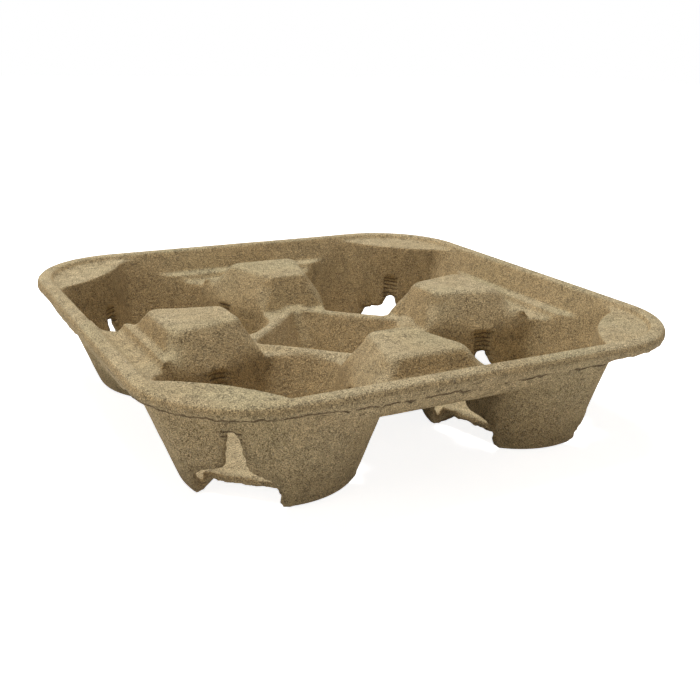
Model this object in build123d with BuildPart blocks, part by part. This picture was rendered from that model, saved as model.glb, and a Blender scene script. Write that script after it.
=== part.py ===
from build123d import *
from math import cos, radians, sin, sqrt, tan
import os

# Moulded pulp carrier for four cups, pressed as one sheet of fibre.
# Origin at the middle of the ground it stands on, +Z up, sides along X and Y.

# Whole tray
tray_height = 48.0
sheet = 2.8
corner_radius = 42.0

# Rim: the sheet is folded double at the top and hangs down outside as a lip
lip_width = 5.6
lip_depth = 5.6
lip_top_round = 2.7
lip_edge_round = 2.2
crest_round = 1.6
shelf_drop = 2.8
rim_gap = 0.7

# The lip hangs lower along the middle of each side
skirt_depth = 10.2
skirt_draft = 24.0
skirt_set_back = 0.8
skirt_seat = 1.6
skirt_top_length = 124.0
skirt_foot_length = 100.0

# Steep faces of rim, ridges and centre well lean by this angle
wall_draft = 28.0

# Cup pockets: three legs with an inward nose between each pair
pocket_offset = 54.1
mouth_radius = 47.6
foot_radius = 28.4
pocket_draft = 22.0
plan_round = 7.0
foot_round = 4.8

# The leg beside the centre well is narrower and reaches further out
inner_leg_mouth_radius = 32.2
inner_leg_foot_radius = 23.9
inner_leg_mouth_reach = 56.0
inner_leg_foot_reach = 30.0

# Noses: distance of their faces, and of the axes they curve about, from the pocket's middle
mouth_nose = 34.0
foot_nose = 24.9
nose_angle = 120.0
corner_nose_axis = 100.0
tower_nose_axis = 175.0

# Raised cup floor, and the hollow legs round it
floor_height = 5.3
foot_inner_radius = 21.0
foot_gap = 31.0

# Towers at the middle of each side, wider towards the rim
tower_drop = 2.9
tower_length = 30.1
tower_splay = 15.2
tower_side_draft = 36.9
tower_plan_round = 4.5
tower_top_round = 2.4
tower_lap = 0.4

# Stepped valley between tower and rim, measured from the foot of the rim's inner face
ledge_drop = 10.7
valley_drop = 14.0
ledge_width = 2.9
valley_bank = 2.3
valley_width = 6.6
tower_ledge_width = 2.0

# Ridges round the centre well
ridge_drop = 16.9
ridge_width = 5.8
ridge_seat = 1.9
ridge_lap = 0.25
well_floor = 8.1
well_tip_gap = 0.6
well_round = 5.0
well_foot_round = 2.0

# Arch through each nose, with a slot torn upwards from its crown
arch_set_back = 0.9
arch_half = 15.5
arch_shoulder = 11.6
arch_round = 5.0
slot_foot = 13.8
slot_foot_half = 4.5
slot_foot_round = 3.0
slot_top_half = 1.8
slot_top_round = 1.0

# How high each slot tore: at the four corners of the tray, and beside the towers
back_slot_top = 19.0
left_slot_top = 24.0
front_slot_top = 28.0
right_slot_top = 22.0
tower_slot_top = 20.5

# Blind pick left in each nose, round and above the slot
pick_foot = 17.5
pick_top = 29.5
pick_half = 3.4
pick_depth = 1.1

rim_inner = pocket_offset + mouth_radius + rim_gap
half_side = rim_inner + lip_width
tray_side = 2 * half_side
pocket_distance = pocket_offset * sqrt(2)
lean = tan(radians(wall_draft))
ridge_radius = ridge_width / 2
ridge_axis = tray_height - ridge_drop - ridge_radius
ridge_shoulder = ridge_axis + ridge_radius * sin(radians(wall_draft))
ridge_flank = ridge_radius * cos(radians(wall_draft))
tower_top = tray_height - tower_drop
tower_rise = tower_top - ridge_shoulder
shelf_underside = tray_height - shelf_drop - sheet
lip_seat = tray_height - lip_depth
arch_reach = foot_nose - arch_set_back
corner_slot_tops = (back_slot_top, left_slot_top, front_slot_top, right_slot_top)


def draft_shift(grow, draft):
    """How far a leaning face moves sideways when its sheet grows by this much."""
    return grow / cos(radians(draft))


def corner_shift(grow, draft):
    """Sideways move of the edge where a leaning face meets a level one, both offset."""
    return grow * (1 - sin(radians(draft))) / cos(radians(draft))


def level(mouth, foot, z):
    """A size of the pocket at height z, on the straight line from foot to mouth."""
    return foot + (mouth - foot) * z / tray_height


def wall_line(z):
    """Distance of the rim's inner face from the middle at height z."""
    return rim_inner - (tray_height - z) * lean


# Where the tower, the ridges and the well's corners come to lie between rim and pockets
ledge_outer = wall_line(tray_height - ledge_drop) - ledge_width
valley_outer = ledge_outer - valley_bank
valley_inner = valley_outer - valley_width
ledge_inner = valley_inner - valley_bank
tower_outer = ledge_inner - tower_ledge_width - (ledge_drop - tower_drop) * lean
tower_inner = tower_outer - tower_length
tower_foot = tower_inner - tower_rise * lean
tower_clear = (tower_outer + ledge_inner) / 2
ridge_reach = level(inner_leg_mouth_reach, inner_leg_foot_reach, ridge_shoulder)
ridge_middle = pocket_distance - ridge_reach - ridge_flank - ridge_lap
ridge_end = tower_foot + ridge_seat
well_corner = tower_foot - well_tip_gap


def pocket_form(grow):
    """The hollow of one pocket with its three legs; grown by the sheet, its outside."""
    bottom = sheet - grow
    rise = tray_height - bottom
    wall = draft_shift(grow, pocket_draft)
    edge = corner_shift(bottom, wall_draft)
    leg_radius = level(mouth_radius, foot_radius, bottom) + wall
    nose = level(mouth_nose, foot_nose, bottom) + wall
    inner_radius = level(inner_leg_mouth_radius, inner_leg_foot_radius, bottom)
    inner_reach = level(inner_leg_mouth_reach, inner_leg_foot_reach, bottom)
    upright = (Align.CENTER, Align.CENTER, Align.MIN)
    noses = ((corner_nose_axis, 0), (tower_nose_axis, nose_angle), (tower_nose_axis, -nose_angle))
    with BuildPart(Plane.XY.offset(bottom)) as form:
        Cone(leg_radius, mouth_radius + wall, rise, align=upright)
        with BuildSketch(Plane.XY.offset(bottom)):
            with Locations((inner_radius - inner_reach, 0)):
                Circle(inner_radius + wall)
        with BuildSketch(Plane.XY.offset(tray_height)):
            with Locations((inner_leg_mouth_radius - inner_leg_mouth_reach, 0)):
                Circle(inner_leg_mouth_radius + wall)
        loft(ruled=True)
        for axis, turn in noses:
            with PolarLocations(axis, 1, start_angle=turn):
                Cone(axis - nose, axis - mouth_nose - wall, rise, align=upright, mode=Mode.SUBTRACT)
        corners = form.edges().filter_by(lambda line: line.bounding_box().size.Z > rise / 2)
        fillet(corners, plan_round + grow)
        fillet(form.faces().sort_by(Axis.Z)[0].edges(), foot_round - sheet + grow)
        with BuildSketch(Plane.XY.offset(bottom)):
            Circle(foot_inner_radius + edge)
            with PolarLocations(0, 3):
                Rectangle(mouth_radius, foot_gap + 2 * edge, align=(Align.MIN, Align.CENTER))
        extrude(amount=floor_height, taper=wall_draft, mode=Mode.SUBTRACT)
    return form.part


def tower_plan(z, shrink):
    """Four-sided outline of the tower on the +X side at height z, its corners rounded."""
    drop = tower_top - z
    splay = tan(radians(tower_splay))
    side_lean = tan(radians(tower_side_draft))
    nose = level(mouth_nose, foot_nose, ridge_shoulder)
    touch_x = pocket_offset + nose * cos(radians(45 - nose_angle))
    touch_y = pocket_offset + nose * sin(radians(45 - nose_angle))
    end = drop * lean - draft_shift(shrink, wall_draft)
    side = touch_y + tower_lap + (drop - tower_rise) * side_lean
    side -= draft_shift(shrink, tower_side_draft)
    inner = tower_inner - end
    outer = tower_outer + end
    inner_half = side - (touch_x - inner) * splay
    outer_half = side + (outer - touch_x) * splay
    with BuildSketch(Plane.XY.offset(z)) as plan:
        with BuildLine():
            Polyline(
                (inner, -inner_half),
                (outer, -outer_half),
                (outer, outer_half),
                (inner, inner_half),
                close=True,
            )
        make_face()
        fillet(plan.vertices(), tower_plan_round)
    return plan.sketch


def tower_form(shrink):
    """One tower on the +X side from ridge height up; shrunk by the sheet, its hollow.

    A top edge rounded less than the sheet is thick has a sharp edge on the hollow's side.
    """
    with BuildPart() as form:
        foot = tower_plan(ridge_shoulder - shrink, shrink)
        top = tower_plan(tower_top - shrink, shrink)
        loft(sections=[foot, top], ruled=True)
        if tower_top_round > shrink:
            fillet(form.faces().sort_by(Axis.Z)[-1].edges(), tower_top_round - shrink)
    return form.part


def well_plan(z, grow):
    """Four-cornered outline of the centre well at height z, its sides bowed inwards."""
    inset = (ridge_shoulder - z) * lean - draft_shift(grow, wall_draft)
    side = (ridge_middle - ridge_flank - inset) / sqrt(2)
    tip = well_corner - inset * sqrt(2)
    with BuildSketch(Plane.XY.offset(z)) as plan:
        with BuildLine():
            ThreePointArc((tip, 0), (side, side), (0, tip))
            ThreePointArc((0, tip), (-side, side), (-tip, 0))
            ThreePointArc((-tip, 0), (-side, -side), (0, -tip))
            ThreePointArc((0, -tip), (side, -side), (tip, 0))
        make_face()
        fillet(plan.vertices(), well_round)
    return plan.sketch


def well_form(grow):
    """The hollow between the four ridges, down to its floor."""
    bottom = well_floor - grow
    with BuildPart() as form:
        loft(sections=[well_plan(bottom, grow), well_plan(ridge_shoulder, grow)], ruled=True)
        fillet(form.faces().sort_by(Axis.Z)[0].edges(), well_foot_round + grow)
    return form.part


def valley_line(drop, shift):
    """Corners of the stepped valley on the +X side; drop and shift give its underside."""
    ledge = tray_height - ledge_drop - drop
    floor = tray_height - valley_drop - drop
    return [
        (tower_clear, ledge),
        (ledge_inner - shift, ledge),
        (valley_inner - shift, floor),
        (valley_outer + shift, floor),
        (ledge_outer + shift, ledge),
        (wall_line(ledge) + draft_shift(drop, wall_draft), ledge),
    ]


def side_form(points):
    """A profile in X and Z on the +X side, run from pocket middle to pocket middle."""
    with BuildPart() as form:
        with BuildSketch(Plane.XZ.offset(-pocket_offset)):
            with BuildLine():
                Polyline(*points, close=True)
            make_face()
        extrude(amount=2 * pocket_offset)
    return form.part


def ridge_form():
    """The round crest of the ridge between the towers on +X and +Y."""
    crest = ridge_middle / sqrt(2)
    with BuildPart() as form:
        with BuildLine() as run:
            ThreePointArc(
                (ridge_end, 0, ridge_axis), (crest, crest, ridge_axis), (0, ridge_end, ridge_axis)
            )
        with BuildSketch(Plane(origin=run.line @ 0, z_dir=run.line % 0)):
            Circle(ridge_radius)
        sweep()
    return form.part


def skirt_form():
    """The part of the lip that hangs lower along the +X side, its ends running out."""
    top = tray_height - lip_depth + sheet / 2
    foot = tray_height - skirt_depth
    outer = half_side - skirt_set_back
    slope = tan(radians(skirt_draft))
    seat = draft_shift(sheet, wall_draft) - skirt_seat
    with BuildPart() as form:
        with BuildSketch(Plane.XZ.offset(-skirt_top_length / 2)):
            with BuildLine():
                Polyline(
                    (wall_line(top) + seat, top),
                    (outer, top),
                    (outer - (top - foot) * slope, foot),
                    (wall_line(foot) + seat, foot),
                    close=True,
                )
            make_face()
        extrude(amount=skirt_top_length)
        with BuildSketch(Plane.YZ):
            with BuildLine():
                Polyline(
                    (-skirt_top_length / 2, top),
                    (-skirt_foot_length / 2, foot),
                    (skirt_foot_length / 2, foot),
                    (skirt_top_length / 2, top),
                    close=True,
                )
            make_face()
        extrude(amount=tray_side, mode=Mode.INTERSECT)
    return form.part


def arch_form(slot_top):
    """The arch and slot through one nose, along local +X from the pocket's middle."""
    with BuildPart() as form:
        with BuildSketch(Plane.YZ.offset(arch_reach)) as opening:
            with BuildLine():
                Polyline(
                    (-arch_half, -sheet),
                    (-arch_half, arch_shoulder),
                    (-slot_foot_half, slot_foot),
                    (-slot_top_half, slot_top),
                    (slot_top_half, slot_top),
                    (slot_foot_half, slot_foot),
                    (arch_half, arch_shoulder),
                    (arch_half, -sheet),
                    close=True,
                )
            make_face()
            foot, shoulders, neck, tip = opening.vertices().group_by(Axis.Y)
            fillet(shoulders, arch_round)
            fillet(neck, slot_foot_round)
            fillet(tip, slot_top_round)
        extrude(amount=mouth_radius - arch_reach)
    return form.part


def pick_form():
    """The blind picks in one pocket's three noses, round and above the slots."""
    with BuildPart() as form:
        add(pocket_form(pick_depth))
        with BuildSketch(Plane.XY.offset(pick_foot)):
            with PolarLocations(0, 3):
                Rectangle(mouth_radius, 2 * pick_half, align=(Align.MIN, Align.CENTER))
        extrude(amount=pick_top - pick_foot, mode=Mode.INTERSECT)
    return form.part


pocket_inside = pocket_form(0)
pocket_outside = pocket_form(sheet)
well_inside = well_form(0)
well_outside = well_form(sheet)
tower = tower_form(0)
tower_hollow = tower_form(sheet)
ridge = ridge_form()
skirt = skirt_form()
tower_arch = arch_form(tower_slot_top)
pick = pick_form()

# Outline of the valley's top side, and of the air below the sheet there
valley = side_form([(tower_clear, tray_height), *valley_line(0, 0), (rim_inner, tray_height)])
valley_below = side_form(
    [
        (tower_clear - sheet, -sheet),
        (tower_clear - sheet, tray_height - ledge_drop - sheet),
        *valley_line(sheet, corner_shift(sheet, wall_draft)),
        (wall_line(lip_seat) + draft_shift(sheet, wall_draft), lip_seat),
        (tray_side, lip_seat),
        (tray_side, -sheet),
    ]
)

# Solid under the top surface: lip, shelves, stepped valleys, towers and ridges
with BuildPart() as upper:
    with BuildSketch(Plane.XY.offset(lip_seat)):
        RectangleRounded(tray_side, tray_side, corner_radius)
    extrude(amount=lip_depth)
    fillet(upper.faces().sort_by(Axis.Z)[-1].edges(), lip_top_round)
    fillet(upper.faces().sort_by(Axis.Z)[0].edges(), lip_edge_round)
    with BuildSketch(Plane.XY.offset(tray_height)):
        RectangleRounded(2 * rim_inner, 2 * rim_inner, corner_radius - lip_width)
    extrude(amount=-shelf_drop, taper=wall_draft, mode=Mode.SUBTRACT)
    fillet(upper.faces().sort_by(Axis.Z)[-1].inner_wires()[0].edges(), crest_round)
    with BuildSketch():
        RectangleRounded(2 * rim_inner, 2 * rim_inner, corner_radius)
    extrude(amount=lip_seat)
    with BuildSketch(Plane.XY.offset(ridge_shoulder)):
        Rectangle(2 * tower_clear, 2 * pocket_offset)
        Rectangle(2 * pocket_offset, 2 * tower_clear)
    extrude(amount=tray_height, mode=Mode.SUBTRACT)
    with PolarLocations(0, 4):
        add(valley, mode=Mode.SUBTRACT)
    with PolarLocations(0, 4):
        add(tower)
        add(ridge)

# Air below the sheet and outside the pockets
with BuildPart() as below:
    with BuildSketch(Plane.XY.offset(-sheet)):
        Rectangle(2 * tray_side, 2 * tray_side)
        Rectangle(2 * pocket_offset, 4 * tray_side, mode=Mode.SUBTRACT)
        Rectangle(4 * tray_side, 2 * pocket_offset, mode=Mode.SUBTRACT)
    extrude(amount=shelf_underside + sheet)
    with BuildSketch(Plane.XY.offset(-sheet)):
        Rectangle(2 * tower_clear, 2 * tower_clear)
    extrude(amount=ridge_shoulder)
    with PolarLocations(0, 4):
        add(valley_below)
        add(tower_hollow)
    with PolarLocations(pocket_distance, 4, start_angle=45):
        add(pocket_outside, mode=Mode.SUBTRACT)
    add(well_outside, mode=Mode.SUBTRACT)

# The pressed sheet itself, with its skirts, and the slots torn through it
with BuildPart() as cup_carrier:
    add(upper.part)
    with PolarLocations(pocket_distance, 4, start_angle=45):
        add(pocket_inside, mode=Mode.SUBTRACT)
    add(well_inside, mode=Mode.SUBTRACT)
    add(below.part, mode=Mode.SUBTRACT)
    with PolarLocations(0, 4):
        add(skirt)
    with PolarLocations(pocket_distance, 4, start_angle=45):
        with PolarLocations(0, 2, start_angle=nose_angle, angular_range=2 * nose_angle):
            add(tower_arch, mode=Mode.SUBTRACT)
        add(pick, mode=Mode.SUBTRACT)
    for corner, slot_top in enumerate(corner_slot_tops):
        with PolarLocations(pocket_distance, 1, start_angle=45 + 90 * corner):
            add(arch_form(slot_top), mode=Mode.SUBTRACT)

cup_carrier.part.label = "cup_carrier"
os.makedirs("parts", exist_ok=True)
export_step(cup_carrier.part, "parts/cup_carrier.step")
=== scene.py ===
"""Looks of a moulded pulp cup carrier: its sheet, its fibre finish, the room and the camera."""

import logging
import math
from collections.abc import Iterable, Iterator
from dataclasses import dataclass, field
from enum import IntEnum
from typing import NamedTuple

import bmesh
import bpy
import numpy as np
from mathutils import Matrix, Vector


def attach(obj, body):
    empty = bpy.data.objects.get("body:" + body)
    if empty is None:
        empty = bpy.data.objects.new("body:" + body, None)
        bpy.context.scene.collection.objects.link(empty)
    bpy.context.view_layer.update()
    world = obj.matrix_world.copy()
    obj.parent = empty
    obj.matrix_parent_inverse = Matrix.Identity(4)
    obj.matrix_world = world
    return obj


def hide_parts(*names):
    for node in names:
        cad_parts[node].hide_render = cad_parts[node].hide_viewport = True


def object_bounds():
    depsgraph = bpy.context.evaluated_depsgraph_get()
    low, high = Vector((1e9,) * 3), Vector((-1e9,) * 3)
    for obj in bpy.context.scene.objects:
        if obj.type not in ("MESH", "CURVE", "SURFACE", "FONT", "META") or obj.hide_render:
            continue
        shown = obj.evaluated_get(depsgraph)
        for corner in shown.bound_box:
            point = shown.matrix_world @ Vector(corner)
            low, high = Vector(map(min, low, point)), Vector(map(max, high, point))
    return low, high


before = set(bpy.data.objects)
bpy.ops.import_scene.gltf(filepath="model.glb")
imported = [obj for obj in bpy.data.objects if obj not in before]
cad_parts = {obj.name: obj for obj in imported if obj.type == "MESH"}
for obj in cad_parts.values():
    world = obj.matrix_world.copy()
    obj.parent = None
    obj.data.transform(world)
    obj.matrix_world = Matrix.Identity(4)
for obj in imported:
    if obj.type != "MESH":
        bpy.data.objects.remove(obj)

log = logging.getLogger("cup_carrier")

MM = 0.001
NODE = "cup_carrier"
CAD_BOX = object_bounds()


def srgb(hex_colour: str) -> tuple[float, float, float, float]:
    """Turn an sRGB hex colour into the linear colour that shaders want.

    Args:
        hex_colour: six hex digits with a leading hash.

    Returns:
        Linear red, green, blue and an alpha of 1.
    """
    parts = [int(hex_colour[i : i + 2], 16) / 255 for i in (1, 3, 5)]
    linear = [c / 12.92 if c <= 0.04045 else ((c + 0.055) / 1.055) ** 2.4 for c in parts]
    return (*linear, 1.0)


def lattice_noise(points: np.ndarray, cell: float, seed: int) -> np.ndarray:
    """Smooth noise: random values on a cubic lattice, joined by an eased trilinear blend.

    Each of the eight corners round a point gives its value times the product of the
    three eased distances, ease(t) = t * t * (3 - 2 t).

    Args:
        points: places, one row each, in metres.
        cell: lattice spacing in metres.
        seed: picks the lattice's values.

    Returns:
        One value from -1 to 1 for each point.
    """
    side = 64
    table = np.random.default_rng(seed).uniform(-1, 1, (side, side, side))
    scaled = points / cell
    low = np.floor(scaled).astype(int)
    part = scaled - low
    ease = part * part * (3 - 2 * part)
    total = np.zeros(len(points))
    for corner in np.ndindex(2, 2, 2):
        step = np.array(corner)
        index = (low + step) % side
        weight = np.prod(np.where(step == 1, ease, 1 - ease), axis=1)
        total += weight * table[index[:, 0], index[:, 1], index[:, 2]]
    return total


def smooth_step(low: float, high: float, values: np.ndarray) -> np.ndarray:
    """Ease from 0 at low to 1 at high, which may be the smaller: t * t * (3 - 2 t)."""
    t = np.clip((values - low) / (high - low), 0, 1)
    return t * t * (3 - 2 * t)


class Mesh:
    """A mesh's points and edges as arrays, with the steps that shape them."""

    def __init__(self, data: bpy.types.Mesh) -> None:
        """Read the points and edges of a mesh.

        Args:
            data: the mesh that the arrays stand for.
        """
        self.data = data
        count = len(data.vertices)
        self.points = np.empty(count * 3)
        data.vertices.foreach_get("co", self.points)
        self.points = self.points.reshape(-1, 3)
        edges = np.empty(len(data.edges) * 2, dtype=np.int32)
        data.edges.foreach_get("vertices", edges)
        self.edges = edges.reshape(-1, 2)
        self.valence = np.bincount(edges, minlength=count).astype(float)

    def normals(self) -> np.ndarray:
        """Put the points back and give the outward normals there, one row each."""
        self.write()
        found = np.empty(len(self.points) * 3)
        self.data.vertices.foreach_get("normal", found)
        return found.reshape(-1, 3)

    def write(self) -> None:
        """Put the points back into the mesh."""
        self.data.vertices.foreach_set("co", self.points.ravel())
        self.data.update()

    def neighbour_mean(self, values: np.ndarray) -> np.ndarray:
        """Mean of a value over the points joined to each point by an edge.

        Args:
            values: one row for each point.

        Returns:
            The means, in the same shape.
        """
        a, b = self.edges[:, 0], self.edges[:, 1]
        count = len(self.points)
        sums = np.stack(
            [
                np.bincount(a, column[b], count) + np.bincount(b, column[a], count)
                for column in values.T
            ],
            axis=1,
        )
        return sums / self.valence[:, None]

    def soften(self, passes: int, share: np.ndarray) -> None:
        """Round the edges: move each point part of the way to its neighbours' mean.

        Args:
            passes: how many times.
            share: for each point, how far it goes, from 0 to 1.
        """
        for _ in range(passes):
            self.points += share[:, None] * (self.neighbour_mean(self.points) - self.points)

    def even_out(self, passes: int, step: float, swell: float) -> None:
        """Take the steps out of a surface and keep its form: move in by one share, out by another.

        Args:
            passes: how many pairs of moves.
            step: share of the way to the neighbours' mean, moved towards it.
            swell: share moved away from it afterwards, a little larger.
        """
        for _ in range(passes):
            for share in (step, -swell):
                self.points += share * (self.neighbour_mean(self.points) - self.points)


@dataclass(frozen=True)
class TraySizes:
    """Sizes of the real tray that its finish follows, in metres.

    The rim comes first, then a pocket's noses with their slots, arches and picks, then the bend
    where a tower's face runs down into a nose.
    """

    half_side: float = 108 * MM
    height: float = 48 * MM
    corner_radius: float = 42 * MM
    lip_depth: float = 5.6 * MM
    lip_width: float = 5.6 * MM
    skirt_foot: float = 37.8 * MM
    skirt_half: float = 56 * MM
    pocket_offset: float = 54.1 * MM
    nose_inside: float = 22 * MM
    nose_outside: float = 39 * MM
    corner_slot_tops: tuple[float, ...] = (19 * MM, 24 * MM, 28 * MM, 22 * MM)
    tower_slot_top: float = 20.5 * MM
    slot_half: float = 4.5 * MM
    arch_half: float = 15.5 * MM
    arch_top: float = 14 * MM
    pick_top: float = 29.5 * MM
    pick_half: float = 3.4 * MM
    bend_foot: float = 20 * MM
    bend_top: float = 40 * MM
    bend_reach: float = 42 * MM
    bend_half: float = 20 * MM


class NosePlace(NamedTuple):
    """Where points lie beside one nose.

    along is the distance from the pocket's middle towards the nose, side the distance from the
    nose's middle line, top the height that its slot tore to and way its level direction.
    """

    along: np.ndarray
    side: np.ndarray
    top: float
    way: np.ndarray
    under_tower: bool


@dataclass
class Noses:
    """The twelve pocket walls that carry a slot, and the marks that lie beside them.

    turns are the noses' directions round a pocket, in degrees from the tray's diagonal. A fade
    is the width over which a mark eases away, and a margin is how far past its place a mark
    stays full. bend_facing is how squarely a face looks into its pocket, as a cosine, where the
    bend's mark begins and where it is full.
    """

    sizes: TraySizes = field(default_factory=TraySizes)
    turns: tuple[float, ...] = (0.0, 120.0, 240.0)
    inside_fade: float = 1 * MM
    outside_fade: float = 2 * MM
    slot_fade: float = 2.5 * MM
    arch_fade: float = 3 * MM
    torn_margin: float = 0.5 * MM
    bend_fade: float = 3 * MM
    bend_side_fade: float = 5 * MM
    bend_facing: tuple[float, float] = (0.1, 0.4)
    pick_margin: float = 1 * MM
    pick_fade: float = 3 * MM
    pick_wide_fade: float = 4 * MM

    def each(self, points: np.ndarray) -> Iterator[NosePlace]:
        """Go through the noses, pocket by pocket.

        The pockets' middles lie on the tray's diagonals, and each pocket has a nose towards the
        tray's corner and one a third of a turn to either side, under a tower.

        Args:
            points: places, one row each, in metres.

        Yields:
            Where the points lie beside one nose after another.
        """
        sizes = self.sizes
        for quarter, corner_top in enumerate(sizes.corner_slot_tops):
            diagonal = math.radians(45 + 90 * quarter)
            middle = sizes.pocket_offset * math.sqrt(2)
            flat = points[:, :2] - middle * np.array([math.cos(diagonal), math.sin(diagonal)])
            for turn in self.turns:
                angle = diagonal + math.radians(turn)
                way = np.array([math.cos(angle), math.sin(angle)])
                side = np.array([-way[1], way[0]])
                under_tower = turn != 0
                top = sizes.tower_slot_top if under_tower else corner_top
                yield NosePlace(flat @ way, np.abs(flat @ side), top, way, under_tower)

    def torn(self, points: np.ndarray) -> np.ndarray:
        """How near each point is to the torn edge of a slot or arch.

        For each nose it is the share of the wall's thickness times the larger of the slot's and
        the arch's own shares, each of them a width share times a height share.

        Args:
            points: places, one row each, in metres.

        Returns:
            One share from 0 to 1 for each point.
        """
        sizes = self.sizes
        height = points[:, 2]
        near = np.zeros(len(points))
        for nose in self.each(points):
            inside, outside = sizes.nose_inside, sizes.nose_outside
            wall = (smooth_step(inside - self.inside_fade, inside + self.inside_fade, nose.along)
                    * smooth_step(outside + self.outside_fade, outside, nose.along))
            slot = (smooth_step(sizes.slot_half + self.slot_fade, sizes.slot_half, nose.side)
                    * smooth_step(nose.top + self.slot_fade, nose.top + self.torn_margin, height))
            arch = (smooth_step(sizes.arch_half + self.arch_fade,
                                sizes.arch_half + self.torn_margin, nose.side)
                    * smooth_step(sizes.arch_top + self.slot_fade, sizes.arch_top, height))
            near = np.maximum(near, wall * np.maximum(slot, arch))
        return near

    def bent(self, points: np.ndarray, normals: np.ndarray) -> np.ndarray:
        """How near each point is to the bend where a tower's face runs into its nose.

        For each nose under a tower it is the share of the distance from the pocket's middle,
        times how far the face looks into the pocket, times the shares of the face's width and
        height, and it is left out round the pick.

        Args:
            points: places, one row each, in metres.
            normals: outward normals there.

        Returns:
            One share from 0 to 1 for each point.
        """
        sizes = self.sizes
        height = points[:, 2]
        low, high = sizes.bend_foot, sizes.bend_top
        near = np.zeros(len(points))
        for nose in self.each(points):
            if not nose.under_tower:
                continue
            wall = (smooth_step(sizes.nose_inside, sizes.nose_inside + self.bend_fade, nose.along)
                    * smooth_step(sizes.bend_reach + self.bend_fade, sizes.bend_reach, nose.along)
                    * smooth_step(*self.bend_facing, -normals[:, :2] @ nose.way))
            face = (smooth_step(sizes.bend_half + self.bend_side_fade, sizes.bend_half, nose.side)
                    * smooth_step(low - self.bend_fade, low, height)
                    * smooth_step(high + self.bend_fade, high, height))
            pick = (smooth_step(sizes.pick_half + self.pick_wide_fade,
                                sizes.pick_half + self.pick_margin, nose.side)
                    * smooth_step(sizes.pick_top + self.pick_fade,
                                  sizes.pick_top + self.pick_margin, height))
            near = np.maximum(near, wall * face * (1 - pick))
        return near

    def picked(self, points: np.ndarray) -> np.ndarray:
        """How far each point lies inside the wrinkled pick above a slot.

        For each nose it is the share of the wall's thickness times the shares of the pick's
        width and height.

        Args:
            points: places, one row each, in metres.

        Returns:
            One share from 0 to 1 for each point.
        """
        sizes = self.sizes
        height = points[:, 2]
        inside, outside = sizes.nose_inside, sizes.nose_outside
        near = np.zeros(len(points))
        for nose in self.each(points):
            wall = (smooth_step(inside, inside + self.outside_fade, nose.along)
                    * smooth_step(outside, outside - self.pick_wide_fade, nose.along))
            patch = (smooth_step(sizes.pick_half + self.pick_margin, sizes.pick_half, nose.side)
                     * smooth_step(sizes.pick_top + self.pick_margin, sizes.pick_top, height)
                     * smooth_step(nose.top - self.pick_fade, nose.top - self.pick_margin, height))
            near = np.maximum(near, wall * patch)
        return near


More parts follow.
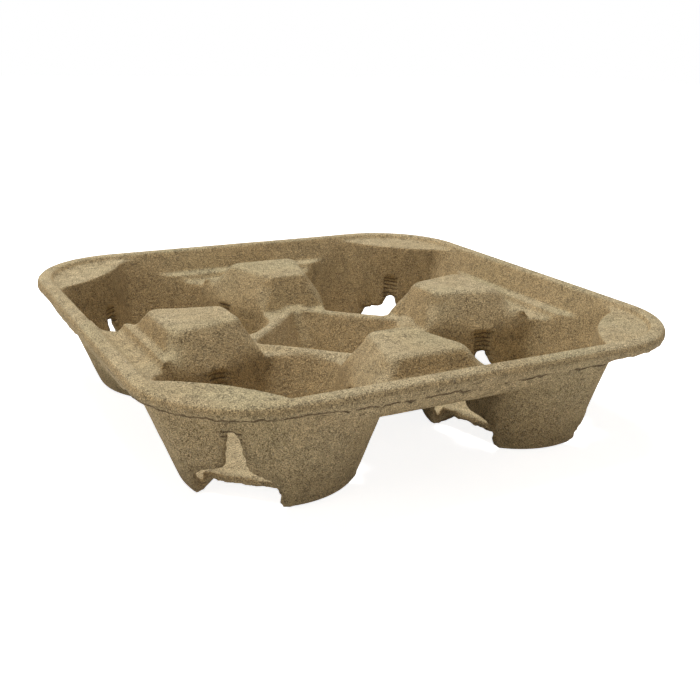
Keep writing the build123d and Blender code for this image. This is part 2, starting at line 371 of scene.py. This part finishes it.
@dataclass
class PulpSheet:
    """The one moulded sheet, softened and made uneven as wet pulp dries.

    Lengths are in metres, shares from 0 to 1 and angles in degrees. Where a pair of lengths or
    cosines names an ease, a mark is 0 at the first and full at the second.
    """

    sizes: TraySizes = field(default_factory=TraySizes)
    noses: Noses = field(default_factory=Noses)
    weld_gap: float = 0.002 * MM
    voxel: float = 0.9 * MM
    most_triangles: int = 190_000
    even_passes: int = 3
    even_step: float = 0.5
    even_swell: float = 0.53
    soft_passes: int = 3
    body_share: float = 0.4
    lip_share: float = 0.15
    slot_share: float = 0.1
    bend_passes: int = 40
    bend_share: float = 0.7
    wave_cells: tuple[float, ...] = (34 * MM, 13 * MM, 5 * MM)
    wave_heights: tuple[float, ...] = (0.25 * MM, 0.10 * MM, 0.06 * MM)
    ground_ease: tuple[float, float] = (0.3 * MM, 3 * MM)
    lip_calm: float = 0.6
    tear_cell: float = 1.9 * MM
    tear_reach: float = 0.5 * MM
    ragged_reach: float = 0.35 * MM
    lip_fade: float = 2 * MM
    lip_under_top: tuple[float, float] = (12 * MM, 9 * MM)
    skirt_fade: float = 5 * MM
    ragged_inwards: tuple[float, float] = (9 * MM, 5 * MM)
    ragged_upwards: tuple[float, float] = (2.5 * MM, 0.5 * MM)
    outside_inwards: tuple[float, float] = (16 * MM, 12 * MM)
    outside_facing: tuple[float, float] = (0.1, 0.5)
    dent_depth: float = 0.16 * MM
    hollow_depth: float = 0.9 * MM
    hollow_rings: int = 12
    mark_blurs: int = 2
    # Where the painted shadow line under the lip runs unbroken, round the front corner, in degrees.
    fold_middle: float = -140.0
    fold_open: float = 20.0
    fold_fade: float = 6.0
    tear_seed: int = 41
    wave_seed: int = 51

    def build(self) -> bpy.types.Object:
        """Make the sheet from a copy of the solid model.

        Returns:
            The finished piece, at the origin.
        """
        rough = self.refined_copy()
        mesh = Mesh(rough.data)
        share = self.softness(mesh.points)
        mesh.even_out(self.even_passes, self.even_step, self.even_swell)
        mesh.soften(self.soft_passes, share)
        bent = self.noses.bent(mesh.points, mesh.normals())
        mesh.soften(self.bend_passes, self.bend_share * bent)
        self.tear_edges(mesh)
        self.wave(mesh)
        mesh.write()
        sheet = self.thinned(rough)
        self.mark(Mesh(sheet.data))
        return sheet

    def refined_copy(self) -> bpy.types.Object:
        """A merged copy of the solid model's mesh, cut into even faces."""
        copy = bpy.data.meshes.new("pulp_sheet")
        shape = bmesh.new()
        shape.from_mesh(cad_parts[NODE].data)
        bmesh.ops.remove_doubles(shape, verts=shape.verts, dist=self.weld_gap)
        shape.to_mesh(copy)
        shape.free()
        rough = bpy.data.objects.new("pulp_sheet_rough", copy)
        bpy.context.scene.collection.objects.link(rough)
        remesh = rough.modifiers.new("even_faces", "REMESH")
        remesh.mode = "VOXEL"
        remesh.voxel_size = self.voxel
        remesh.use_smooth_shade = True
        return self.settled(rough)

    def thinned(self, sheet: bpy.types.Object) -> bpy.types.Object:
        """The sheet with fewer faces, taken mostly where it is flat.

        Args:
            sheet: the shaped sheet, which is removed.

        Returns:
            The sheet to keep.
        """
        sheet.data.calc_loop_triangles()
        thin = sheet.modifiers.new("fewer_flat_faces", "DECIMATE")
        thin.ratio = min(1.0, self.most_triangles / len(sheet.data.loop_triangles))
        return self.settled(sheet)

    def settled(self, rough: bpy.types.Object) -> bpy.types.Object:
        """Turn what an object's modifiers make into a plain object.

        Args:
            rough: the object with modifiers, which is removed.

        Returns:
            The plain object, linked to the scene.
        """
        graph = bpy.context.evaluated_depsgraph_get()
        even = bpy.data.meshes.new_from_object(rough.evaluated_get(graph))
        bpy.data.objects.remove(rough)
        even.name = "pulp_sheet"
        even.materials.clear()
        sheet = bpy.data.objects.new("pulp_sheet", even)
        bpy.context.scene.collection.objects.link(sheet)
        return sheet

    def outward(self, points: np.ndarray) -> np.ndarray:
        """How far out each point lies, on rounded squares drawn like the tray's rim.

        It is the larger of the point's two level coordinates, or, near a corner, the straight
        part plus the distance from the end of it.

        Args:
            points: places, one row each, in metres.

        Returns:
            One distance for each point, half a side at the rim.
        """
        straight = self.sizes.half_side - self.sizes.corner_radius
        beyond = np.maximum(np.abs(points[:, :2]) - straight, 0)
        reach = np.max(np.abs(points[:, :2]), axis=1)
        return np.maximum(reach, np.hypot(beyond[:, 0], beyond[:, 1]) + straight)

    def lip_nearness(self, points: np.ndarray) -> np.ndarray:
        """How near each point is to the rolled lip: a share outwards times one upwards.

        Args:
            points: places, one row each, in metres.

        Returns:
            1 on the lip and 0 on the rest, eased between.
        """
        sizes = self.sizes
        inner = sizes.half_side - sizes.lip_width
        rim = smooth_step(inner - self.lip_fade, inner, self.outward(points))
        start, full = (sizes.height - under for under in self.lip_under_top)
        return rim * smooth_step(start, full, points[:, 2])

    def lip_edge(self, points: np.ndarray) -> np.ndarray:
        """How near each point is to the lower edge of the lip and skirts, where pulp hangs ragged.

        The edge runs level and drops to the skirt's foot along the middle of each side. The
        share outwards is multiplied by the share of the height over that edge.

        Args:
            points: places, one row each, in metres.

        Returns:
            1 along the edge and 0 elsewhere, eased between.
        """
        sizes = self.sizes
        side = np.min(np.abs(points[:, :2]), axis=1)
        skirt = smooth_step(sizes.skirt_half + self.skirt_fade, sizes.skirt_half - self.skirt_fade,
                            side)
        edge = sizes.height - sizes.lip_depth
        edge = edge + (sizes.skirt_foot - edge) * skirt
        start, full = (sizes.half_side - inwards for inwards in self.ragged_inwards)
        rim = smooth_step(start, full, self.outward(points))
        highest, full_below = (edge + upwards for upwards in self.ragged_upwards)
        return rim * smooth_step(highest, full_below, points[:, 2])

    def outside(self, points: np.ndarray, normals: np.ndarray) -> np.ndarray:
        """How far each point is on a face under the rim that looks away from the tray's middle.

        Args:
            points: places, one row each, in metres.
            normals: outward normals there.

        Returns:
            A share outwards times how squarely the face looks away, from 0 to 1.
        """
        away = points[:, :2] / np.maximum(np.hypot(*points[:, :2].T), MM)[:, None]
        facing = np.sum(normals[:, :2] * away, axis=1)
        start, full = (self.sizes.half_side - inwards for inwards in self.outside_inwards)
        return (smooth_step(start, full, self.outward(points))
                * smooth_step(*self.outside_facing, facing))

    def front_corner(self, points: np.ndarray) -> np.ndarray:
        """1 round the tray's front corner, where the painted shadow line under the lip runs
        unbroken.
        """
        off = np.degrees(np.arctan2(points[:, 1], points[:, 0])) - self.fold_middle
        return smooth_step(self.fold_open + self.fold_fade, self.fold_open, np.abs(off))

    def softness(self, points: np.ndarray) -> np.ndarray:
        """How far each point goes in a softening pass.

        The body's share gives way to the slots' share at a torn edge, and then to the lip's.

        Args:
            points: places, one row each.

        Returns:
            One share for each point.
        """
        slots = self.noses.torn(points)
        lip = self.lip_nearness(points)
        share = self.body_share + (self.slot_share - self.body_share) * slots
        return share + (self.lip_share - share) * lip

    def tear_edges(self, mesh: Mesh) -> None:
        """Shake the edges of slots, arches and lip, as torn pulp has: one noise along each axis.

        Args:
            mesh: the sheet, whose points move.
        """
        reach = (self.tear_reach * self.noses.torn(mesh.points)
                 + self.ragged_reach * self.lip_edge(mesh.points))
        shake = np.stack(
            [lattice_noise(mesh.points, self.tear_cell, self.tear_seed + i) for i in range(3)],
            axis=1,
        )
        mesh.points += shake * reach[:, None]

    def wave(self, mesh: Mesh) -> None:
        """Lift and sink the surface along its normals, and keep it in the solid's box.

        The lift is a sum of noises from coarse to fine. It dies away where the sheet meets the
        table and is weaker on the lip.

        Args:
            mesh: the sheet, whose points move.
        """
        normals = mesh.normals()
        lift = np.zeros(len(mesh.points))
        for index, (cell, height) in enumerate(zip(self.wave_cells, self.wave_heights)):
            lift += height * lattice_noise(mesh.points, cell, self.wave_seed + index)
        ground = smooth_step(*self.ground_ease, mesh.points[:, 2])
        edge = 1 - self.lip_calm * self.lip_nearness(mesh.points)
        mesh.points += normals * (lift * ground * edge)[:, None]
        mesh.points = np.clip(mesh.points, CAD_BOX[0], CAD_BOX[1])

    def mark(self, mesh: Mesh) -> None:
        """Note on each point how creased, sunken, torn, picked and far out the sheet is there.

        A crease is how far the mean of the neighbours lies outside the point, along its
        normal; a hollow is the same against the mean of a wider ring.

        Args:
            mesh: the finished sheet.
        """
        normals = mesh.normals()
        ring = mesh.neighbour_mean(mesh.points)
        wide = ring.copy()
        for _ in range(self.hollow_rings - 1):
            wide = mesh.neighbour_mean(wide)
        # crease and hollow set where the finish paints shade; outside and front_corner place its
        # painted shadow line under the lip.
        marks = {
            "crease": np.sum((ring - mesh.points) * normals, axis=1) / self.dent_depth,
            "hollow": np.sum((wide - mesh.points) * normals, axis=1) / self.hollow_depth,
            "torn": self.noses.torn(mesh.points),
            "outside": self.outside(mesh.points, normals),
            "front_corner": self.front_corner(mesh.points),
            "picked": self.noses.picked(mesh.points),
        }
        for name in ("crease", "hollow"):
            for _ in range(self.mark_blurs):
                marks[name] = mesh.neighbour_mean(marks[name][:, None])[:, 0]
        for name, values in marks.items():
            layer = mesh.data.attributes.new(name, "FLOAT", "POINT")
            layer.data.foreach_set("value", values.astype(np.float32))


class MixPlace(IntEnum):
    """Places of a Mix node's colour sockets."""

    SHARE = 0
    UNDER = 6
    OVER = 7
    RESULT = 2


# What may feed a node's input: another node, one of its outputs, or a plain value.
Feed = bpy.types.Node | bpy.types.NodeSocket | float | tuple[float, ...]


def add_node(tree: bpy.types.NodeTree, kind: str, settings: dict | None = None,
             inputs: dict | None = None) -> bpy.types.Node:
    """Add a node with its settings, values and links.

    Args:
        tree: the material's node tree.
        kind: the node's type name.
        settings: the node's own properties.
        inputs: input name or place to what feeds it, which is a plain value, another node's
            output, or another node, whose first output is meant.

    Returns:
        The new node.
    """
    node = tree.nodes.new(kind)
    for name, value in (settings or {}).items():
        setattr(node, name, value)
    for name, feed in (inputs or {}).items():
        if isinstance(feed, bpy.types.Node):
            feed = feed.outputs[0]
        if isinstance(feed, bpy.types.NodeSocket):
            tree.links.new(feed, node.inputs[name])
        else:
            node.inputs[name].default_value = feed
    return node


def carried(span: tuple[float, float], shown: tuple[float, float] = (0.0, 1.0)) -> dict[str, float]:
    """Limits of a Map Range node that carries values from a span to what is shown of them."""
    return {"From Min": span[0], "From Max": span[1], "To Min": shown[0], "To Max": shown[1]}


class Mottle(NamedTuple):
    """One kind of unevenness in pulp: noise carried to a share.

    size_mm is the width of a lump, span holds the noise values that give the two ends of shown,
    and layers is how many finer noises ride on it.
    """

    size_mm: float
    span: tuple[float, float]
    shown: tuple[float, float] = (0.0, 1.0)
    layers: float = 2.0


class Mark(NamedTuple):
    """One of the sheet's own marks, by name: the values in span are carried to those in shown."""

    name: str
    span: tuple[float, float]
    shown: tuple[float, float] = (0.0, 1.0)


@dataclass(frozen=True)
class PulpFinish:
    """Recycled kraft pulp, sucked onto a wire mould and oven dried with no hot press.

    That leaves it matt, with a felt-like grain, pale fibres, dark flecks and hairline cracks
    where the mat shrank. Its steep walls are painted browner than its tops, as painted warm
    shade for light bounced between them, and its hollows, creases and wrinkle troughs carry
    painted shade. Single fibres are about 0.03 mm thick, too fine to show, so the finest grain
    is drawn 0.42 mm wide and the fibres and flecks 0.9 mm.

    Sizes whose names end in mm are real ones. The span wall_rise holds the upward parts of the
    normals where tops end and full walls begin, and from wall_span's first to its second, faces
    that look down turn to upright ones, with wall_shares of the painted wall shade. layer_share
    is how strong each finer noise is beside the one before. The painted shadow line under the
    lip is given as half its width, and fold_core is the share of it that is fully dark.
    """

    tan: str = "#bcaa86"
    brown: str = "#b39c74"
    green: str = "#b0a480"
    # Painted warm shade for steep faces, standing in for light bounced between the walls.
    wall: str = "#ae9164"
    pale_fibre: str = "#d8cbaa"
    # Brown of painted shade in hollows, creases, wrinkle troughs and under the lip, and of the real
    # hairline cracks and torn edges.
    shade_and_crack_brown: str = "#4c3a26"
    dark_fleck: str = "#64503a"
    clouds: Mottle = Mottle(34.0, (0.38, 0.66), (0.0, 0.6))
    tints: Mottle = Mottle(52.0, (0.45, 0.7), (0.0, 0.6))
    # Where the painted wall shade begins and how strong it is, by the normal's height.
    wall_rise: tuple[float, float] = (0.8, 0.5)
    wall_span: tuple[float, float] = (-0.1, 0.2)
    wall_shares: tuple[float, float] = (0.4, 0.6)
    grains: tuple[Mottle, ...] = (
        Mottle(4.5, (0.28, 0.72), (0.95, 1.05)),
        Mottle(1.0, (0.28, 0.72), (0.85, 1.15)),
        Mottle(0.42, (0.28, 0.72), (0.25, 1.75)),
    )
    fibres: Mottle = Mottle(0.9, (0.66, 0.74), (0.0, 0.5), 1.0)
    flecks: Mottle = Mottle(0.9, (0.70, 0.76), (0.0, 0.6), 1.0)
    layer_share: float = 0.6
    rags: Mottle = Mottle(1.0, (0.4, 0.65))
    rag_places: Mark = Mark("torn", (0.3, 1.0), (0.0, 0.45))
    # Painted shade in hollows and creases, where less light reaches.
    hollows: Mark = Mark("hollow", (0.3, 2.2), (0.0, 0.45))
    creases: Mark = Mark("crease", (0.6, 2.4), (0.0, 0.75))
    wrinkle_mm: float = 1.9
    wrinkle_waver: float = 5.0
    wrinkle_layers: float = 2.0
    wrinkle_layer_scale: float = 0.9
    wrinkle_trough: tuple[float, float] = (0.45, 0.05)
    wrinkle_places: Mark = Mark("picked", (0.3, 0.9))
    # Painted shade in the wrinkles' troughs.
    wrinkle_start: float = 0.2
    wrinkle_shade_strength: float = 0.6
    crack_mm: float = 2.0
    crack_level: float = 0.5
    crack_width: float = 0.018
    crack_waver: float = 0.6
    crack_layers: float = 3.0
    crack_layer_share: float = 0.65
    crack_runs: Mottle = Mottle(5.0, (0.4, 0.62))
    crack_stain: float = 0.42
    # A painted shadow line under the lip's lower edge, where the sheet folds down.
    fold_height_mm: float = 41.5
    fold_shadow_half_mm: float = 0.55
    fold_core: float = 0.3
    fold_drift: Mottle = Mottle(5.0, (0.0, 1.0), (-1.8, 1.8), 5.0)
    fold_runs: Mottle = Mottle(7.5, (0.45, 0.53))
    fold_unbroken: Mark = Mark("front_corner", (0.0, 1.0))
    fold_rise: Mark = Mark("front_corner", (0.0, 1.0), (0.0, 2.0))
    fold_places: Mark = Mark("outside", (0.2, 0.8))
    fold_shadow_strength: float = 0.75
    felt: Mottle = Mottle(1.0, (0.0, 1.0), layers=4.0)
    relief_mm: float = 0.5
    roughness: float = 0.95
    specular: float = 0.25
    ior: float = 1.45

    def build(self) -> bpy.types.Material:
        """Make the material.

        Returns:
            The material, its patterns on Object coordinates in millimetres.
        """
        material = bpy.data.materials.new("moulded_kraft_pulp")
        material.use_nodes = True
        tree = material.node_tree
        tree.nodes.clear()
        metres = add_node(tree, "ShaderNodeTexCoord").outputs["Object"]
        place = add_node(tree, "ShaderNodeMapping",
                         inputs={"Vector": metres, "Scale": (1 / MM, 1 / MM, 1 / MM)})
        troughs = (self.wrinkles(tree, place), self.cracks(tree, place), self.fold(tree, place))
        shader = add_node(tree, "ShaderNodeBsdfPrincipled", inputs={
            "Base Color": self.colour(tree, place, *troughs),
            "Normal": self.relief(tree, place, *troughs),
            "Roughness": self.roughness,
            "IOR": self.ior,
            "Specular IOR Level": self.specular,
        })
        add_node(tree, "ShaderNodeOutputMaterial", inputs={"Surface": shader})
        return material

    def mottled(self, tree: bpy.types.NodeTree, place: Feed, kind: Mottle) -> bpy.types.Node:
        """Uneven pulp density as a share.

        Args:
            tree: the material's node tree.
            place: coordinates in millimetres.
            kind: how wide the lumps are and how they show.

        Returns:
            The node that gives the share.
        """
        noise = add_node(tree, "ShaderNodeTexNoise", inputs={
            "Vector": place, "Scale": 1 / kind.size_mm, "Detail": kind.layers,
            "Roughness": self.layer_share})
        return add_node(tree, "ShaderNodeMapRange",
                        inputs=carried(kind.span, kind.shown) | {"Value": noise})

    def marked(self, tree: bpy.types.NodeTree, mark: Mark) -> bpy.types.Node:
        """One of the sheet's own marks as a share.

        Args:
            tree: the material's node tree.
            mark: which one, and how it shows.

        Returns:
            The node that gives the share.
        """
        noted = add_node(tree, "ShaderNodeAttribute", {"attribute_name": mark.name})
        return add_node(tree, "ShaderNodeMapRange",
                        inputs=carried(mark.span, mark.shown) | {"Value": noted.outputs["Fac"]})

    def coated(self, tree: bpy.types.NodeTree, base: Feed,
               coats: Iterable[tuple[Feed, str]]) -> bpy.types.NodeSocket:
        """Lay coats of colour over a base, one after another.

        Args:
            tree: the material's node tree.
            base: the colour below.
            coats: each coat's share and its hex colour.

        Returns:
            The output that gives the colour.
        """
        for share, colour in coats:
            mixed = add_node(tree, "ShaderNodeMix", {"data_type": "RGBA"}, {
                MixPlace.SHARE: share, MixPlace.UNDER: base, MixPlace.OVER: srgb(colour)})
            base = mixed.outputs[MixPlace.RESULT]
        return base

    def wrinkles(self, tree: bpy.types.NodeTree, place: Feed) -> bpy.types.Node:
        """Level wrinkles that the pulled-out mould left in each pick.

        Args:
            tree: the material's node tree.
            place: coordinates in millimetres.

        Returns:
            The node that gives 1 in their troughs.
        """
        # At a scale of 1 the bands of a Wave texture repeat after 0.314.
        scale = 0.314 / self.wrinkle_mm
        bands = add_node(tree, "ShaderNodeTexWave", {"wave_type": "BANDS", "bands_direction": "Z"}, {
            "Vector": place, "Scale": scale, "Distortion": self.wrinkle_waver,
            "Detail": self.wrinkle_layers, "Detail Scale": self.wrinkle_layer_scale})
        troughs = add_node(tree, "ShaderNodeMapRange",
                           inputs=carried(self.wrinkle_trough) | {"Value": bands.outputs["Fac"]})
        return add_node(tree, "ShaderNodeMath", {"operation": "MULTIPLY"},
                        {0: troughs, 1: self.marked(tree, self.wrinkle_places)})

    def cracks(self, tree: bpy.types.NodeTree, place: Feed) -> bpy.types.Node:
        """Hairline creases between matted fibres, along broken level lines of a noise.

        A hairline runs where the noise is nearer to crack_level than crack_width.

        Args:
            tree: the material's node tree.
            place: coordinates in millimetres.

        Returns:
            The node that gives 1 in the hairlines.
        """
        noise = add_node(tree, "ShaderNodeTexNoise", inputs={
            "Vector": place, "Scale": 1 / self.crack_mm, "Detail": self.crack_layers,
            "Roughness": self.crack_layer_share, "Distortion": self.crack_waver})
        off = add_node(tree, "ShaderNodeMath", {"operation": "SUBTRACT"},
                       {0: noise, 1: self.crack_level})
        size = add_node(tree, "ShaderNodeMath", {"operation": "ABSOLUTE"}, {0: off})
        line = add_node(tree, "ShaderNodeMapRange",
                        inputs=carried((self.crack_width, 0.0)) | {"Value": size})
        return add_node(tree, "ShaderNodeMath", {"operation": "MULTIPLY"},
                        {0: line, 1: self.mottled(tree, place, self.crack_runs)})

    def fold(self, tree: bpy.types.NodeTree, place: Feed) -> bpy.types.Node:
        """Painted shadow line under the folded-down lip, broken, along a wandering level line.

        The line stands a little higher round the front corner and has no breaks there.

        Args:
            tree: the material's node tree.
            place: coordinates in millimetres.

        Returns:
            The node that gives 1 in the painted shadow line.
        """
        height = add_node(tree, "ShaderNodeSeparateXYZ", inputs={0: place}).outputs["Z"]
        level = add_node(tree, "ShaderNodeMath", {"operation": "SUBTRACT"},
                         {0: height, 1: self.fold_height_mm})
        wandering = add_node(tree, "ShaderNodeMath", {"operation": "ADD"},
                             {0: level, 1: self.mottled(tree, place, self.fold_drift)})
        off = add_node(tree, "ShaderNodeMath", {"operation": "SUBTRACT"},
                       {0: wandering, 1: self.marked(tree, self.fold_rise)})
        size = add_node(tree, "ShaderNodeMath", {"operation": "ABSOLUTE"}, {0: off})
        edges = (self.fold_shadow_half_mm, self.fold_core * self.fold_shadow_half_mm)
        line = add_node(tree, "ShaderNodeMapRange", inputs=carried(edges) | {"Value": size})
        shadow_runs = add_node(tree, "ShaderNodeMath", {"operation": "MAXIMUM"},
                          {0: self.mottled(tree, place, self.fold_runs),
                           1: self.marked(tree, self.fold_unbroken)})
        broken_shadow_line = add_node(tree, "ShaderNodeMath", {"operation": "MULTIPLY"},
                             {0: line, 1: shadow_runs})
        return add_node(tree, "ShaderNodeMath", {"operation": "MULTIPLY"},
                        {0: broken_shadow_line, 1: self.marked(tree, self.fold_places)})

    def walls(self, tree: bpy.types.NodeTree) -> bpy.types.Node:
        """Painted warm shade on steep faces, less on those that look down, by the normal's height.

        Args:
            tree: the material's node tree.

        Returns:
            The node that gives their share of the painted wall shade.
        """
        normal = add_node(tree, "ShaderNodeTexCoord").outputs["Normal"]
        height = add_node(tree, "ShaderNodeSeparateXYZ", inputs={0: normal}).outputs["Z"]
        steep = add_node(tree, "ShaderNodeMapRange",
                         inputs=carried(self.wall_rise) | {"Value": height})
        above = add_node(tree, "ShaderNodeMapRange",
                         inputs=carried(self.wall_span, self.wall_shares) | {"Value": height})
        return add_node(tree, "ShaderNodeMath", {"operation": "MULTIPLY"}, {0: steep, 1: above})

    def colour(self, tree: bpy.types.NodeTree, place: Feed, wrinkles: Feed, cracks: Feed,
               fold: Feed) -> bpy.types.NodeSocket:
        """Tan pulp with grain, fibres and flecks, and painted shade on steep walls and in creases.

        Args:
            tree: the material's node tree.
            place: coordinates in millimetres.
            wrinkles: 1 in the wrinkles' troughs.
            cracks: 1 in the hairlines.
            fold: 1 in the painted shadow line under the rim.

        Returns:
            The output that gives the colour.
        """
        base = self.coated(tree, srgb(self.tan), (
            (self.mottled(tree, place, self.clouds), self.brown),
            (self.mottled(tree, place, self.tints), self.green),
            (self.walls(tree), self.wall),
        ))
        for kind in self.grains:
            grain = self.mottled(tree, place, kind)
            base = add_node(tree, "ShaderNodeVectorMath", {"operation": "SCALE"},
                            {0: base, "Scale": grain})
        base = self.coated(tree, base, (
            (self.mottled(tree, place, self.fibres), self.pale_fibre),
            (self.mottled(tree, place, self.flecks), self.dark_fleck),
        ))
        rags = add_node(tree, "ShaderNodeMath", {"operation": "MULTIPLY"},
                        {0: self.mottled(tree, place, self.rags),
                         1: self.marked(tree, self.rag_places)})
        in_cracks, in_wrinkles, in_fold = (
            add_node(tree, "ShaderNodeMapRange",
                     inputs=carried((start, 1.0), (0.0, most)) | {"Value": trough})
            for trough, start, most in (
                (cracks, 0.0, self.crack_stain),
                (wrinkles, self.wrinkle_start, self.wrinkle_shade_strength),
                (fold, 0.0, self.fold_shadow_strength),
            )
        )
        # Cracks and torn edges darken as real marks; hollows, creases, wrinkle troughs and the line
        # under the lip get painted shade.
        in_hollows, in_creases = self.marked(tree, self.hollows), self.marked(tree, self.creases)
        soiled = (in_cracks, in_hollows, in_creases, rags, in_wrinkles, in_fold)
        return self.coated(tree, base, [(share, self.shade_and_crack_brown) for share in soiled])

    def relief(self, tree: bpy.types.NodeTree, place: Feed, *troughs: Feed) -> bpy.types.Node:
        """Felt of matted fibres, with troughs sunk into it.

        Args:
            tree: the material's node tree.
            place: coordinates in millimetres.
            troughs: each gives 1 where the felt is sunk.

        Returns:
            The node that gives the bent normal.
        """
        height = self.mottled(tree, place, self.felt)
        for trough in troughs:
            height = add_node(tree, "ShaderNodeMath", {"operation": "SUBTRACT"},
                              {0: height, 1: trough})
        return add_node(tree, "ShaderNodeBump", inputs={
            "Height": height, "Strength": 1.0, "Distance": self.relief_mm * MM})


@dataclass(frozen=True)
class Viewpoint:
    """Where the photograph was taken from: metres, degrees and millimetres of lens."""

    place: tuple[float, float, float] = (-0.179603, -0.336108, 0.150564)
    yaw: float = -29.318
    pitch: float = 18.619
    roll: float = 1.559
    lens: float = 47.685
    sensor: float = 36.0
    nearest: float = 0.01

    def build(self) -> bpy.types.Object:
        """Make the camera: it looks along yaw and down by pitch, then rolls.

        Returns:
            The camera, which the scene now uses.
        """
        yaw, pitch, roll = (math.radians(a) for a in (self.yaw, self.pitch, self.roll))
        ahead = np.array([
            -math.sin(yaw) * math.cos(pitch),
            math.cos(yaw) * math.cos(pitch),
            -math.sin(pitch),
        ])
        level = np.array([math.cos(yaw), math.sin(yaw), 0.0])
        up = np.cross(level, ahead)
        right = math.cos(roll) * level + math.sin(roll) * up
        top = -math.sin(roll) * level + math.cos(roll) * up
        data = bpy.data.cameras.new("camera")
        data.lens = self.lens
        data.sensor_width = self.sensor
        data.clip_start = self.nearest
        camera = bpy.data.objects.new("camera", data)
        turn = Matrix(np.stack([right, top, -ahead], axis=1).tolist()).to_4x4()
        camera.matrix_world = Matrix.Translation(self.place) @ turn
        bpy.context.scene.collection.objects.link(camera)
        bpy.context.scene.camera = camera
        return camera


def seen(tree: bpy.types.NodeTree) -> bpy.types.NodeSocket:
    """Tell the rays that look at a thing from those that light other things.

    Args:
        tree: the material's or world's node tree.

    Returns:
        The output that gives 1 for a ray from the camera, a reflection or a clear thing, else 0.
    """
    rays = add_node(tree, "ShaderNodeLightPath")
    total = rays.outputs["Is Camera Ray"]
    for other in ("Is Glossy Ray", "Is Transmission Ray"):
        total = add_node(tree, "ShaderNodeMath", {"operation": "MAXIMUM"},
                         {0: total, 1: rays.outputs[other]}).outputs[0]
    return total


@dataclass(frozen=True)
class TableFinish:
    """Matt white painted table: it takes the tray's shadow and is otherwise seen as white.

    The glow that it shows to the camera grows from near_glow within near_reach of the tray's
    middle to full white at far_reach, in metres, so that shadows stay in sight close by.
    """

    grey: str = "#f0f0f0"
    near_glow: float = 0.87
    near_reach: float = 0.25
    far_reach: float = 0.9

    def build(self) -> bpy.types.Material:
        """Make the material.

        Returns:
            Matt paint, plus the glow that lights nothing else.
        """
        material = bpy.data.materials.new("white_table")
        material.use_nodes = True
        tree = material.node_tree
        tree.nodes.clear()
        paint = add_node(tree, "ShaderNodeBsdfDiffuse", inputs={"Color": srgb(self.grey)})
        place = add_node(tree, "ShaderNodeTexCoord").outputs["Object"]
        reach = add_node(tree, "ShaderNodeVectorMath", {"operation": "LENGTH"}, {0: place})
        spread = carried((self.near_reach, self.far_reach), (self.near_glow, 1.0))
        glow = add_node(tree, "ShaderNodeMapRange",
                        inputs=spread | {"Value": reach.outputs["Value"]})
        shown = add_node(tree, "ShaderNodeMath", {"operation": "MULTIPLY"},
                         {0: seen(tree), 1: glow})
        white = add_node(tree, "ShaderNodeEmission", inputs={"Strength": shown})
        both = add_node(tree, "ShaderNodeAddShader", inputs={0: paint, 1: white})
        add_node(tree, "ShaderNodeOutputMaterial", inputs={"Surface": both})
        return material


class Lamp(NamedTuple):
    """A square soft lamp: its place and size are in metres."""

    name: str
    place: tuple[float, float, float]
    size: float
    watts: float


@dataclass(frozen=True)
class Studio:
    """A white table, a soft light from above and weak ones from the left and low in front."""

    floor_half: float = 3.0
    floor_drop: float = 0.1 * MM
    lamps: tuple[Lamp, ...] = (
        Lamp("key", (-0.1, 0.26, 1.38), 0.7, 19.0),
        Lamp("fill", (-1.3, -0.1, 0.35), 0.8, 3.0),
        Lamp("front", (0.25, -1.5, 0.09), 0.3, 3.0),
    )
    room_grey: float = 0.12

    def build(self) -> None:
        """Make the floor, the lamps and the world."""
        self.floor()
        for lamp in self.lamps:
            self.light(lamp)
        self.room()

    def floor(self) -> None:
        """A square table top, a hair under the tray's feet."""
        half = self.floor_half
        corners = [(-half, -half, 0), (half, -half, 0), (half, half, 0), (-half, half, 0)]
        data = bpy.data.meshes.new("floor")
        data.from_pydata(corners, [], [(0, 1, 2, 3)])
        data.materials.append(TableFinish().build())
        floor = bpy.data.objects.new("floor", data)
        floor.location.z = -self.floor_drop
        bpy.context.scene.collection.objects.link(floor)

    def light(self, lamp: Lamp) -> None:
        """Hang a lamp so that it faces the tray.

        Args:
            lamp: its name, place, size and power.
        """
        data = bpy.data.lights.new(lamp.name, "AREA")
        data.size = lamp.size
        data.energy = lamp.watts
        hung = bpy.data.objects.new(lamp.name, data)
        aim = -np.array(lamp.place)
        hung.location = lamp.place
        hung.rotation_euler = Vector(aim).to_track_quat("-Z", "Y").to_euler()
        bpy.context.scene.collection.objects.link(hung)
        log.info("lamp %s: %.1f W", lamp.name, lamp.watts)

    def room(self) -> None:
        """White to the camera and to reflections, a plain grey light to the rest."""
        world = bpy.data.worlds.new("room")
        bpy.context.scene.world = world
        world.use_nodes = True
        tree = world.node_tree
        tree.nodes.clear()
        white, grey = (
            add_node(tree, "ShaderNodeBackground", inputs={"Strength": glow, "Color": (1, 1, 1, 1)})
            for glow in (1.0, self.room_grey)
        )
        both = add_node(tree, "ShaderNodeMixShader", inputs={0: seen(tree), 1: grey, 2: white})
        add_node(tree, "ShaderNodeOutputWorld", inputs={"Surface": both})


def main() -> None:
    """Build the tray, its room and the camera, and log the sheet's triangles and the lens."""
    logging.basicConfig(level=logging.INFO)
    bpy.context.scene.view_settings.view_transform = "Standard"
    sheet = PulpSheet().build()
    sheet.data.materials.append(PulpFinish().build())
    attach(sheet, "root")
    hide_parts(NODE)
    sheet.data.calc_loop_triangles()
    log.info("%s has %d triangles", sheet.name, len(sheet.data.loop_triangles))
    Studio().build()
    camera = Viewpoint().build()
    log.info("%s: %.1f mm lens", camera.name, camera.data.lens)


if __name__ == "__main__":
    main()
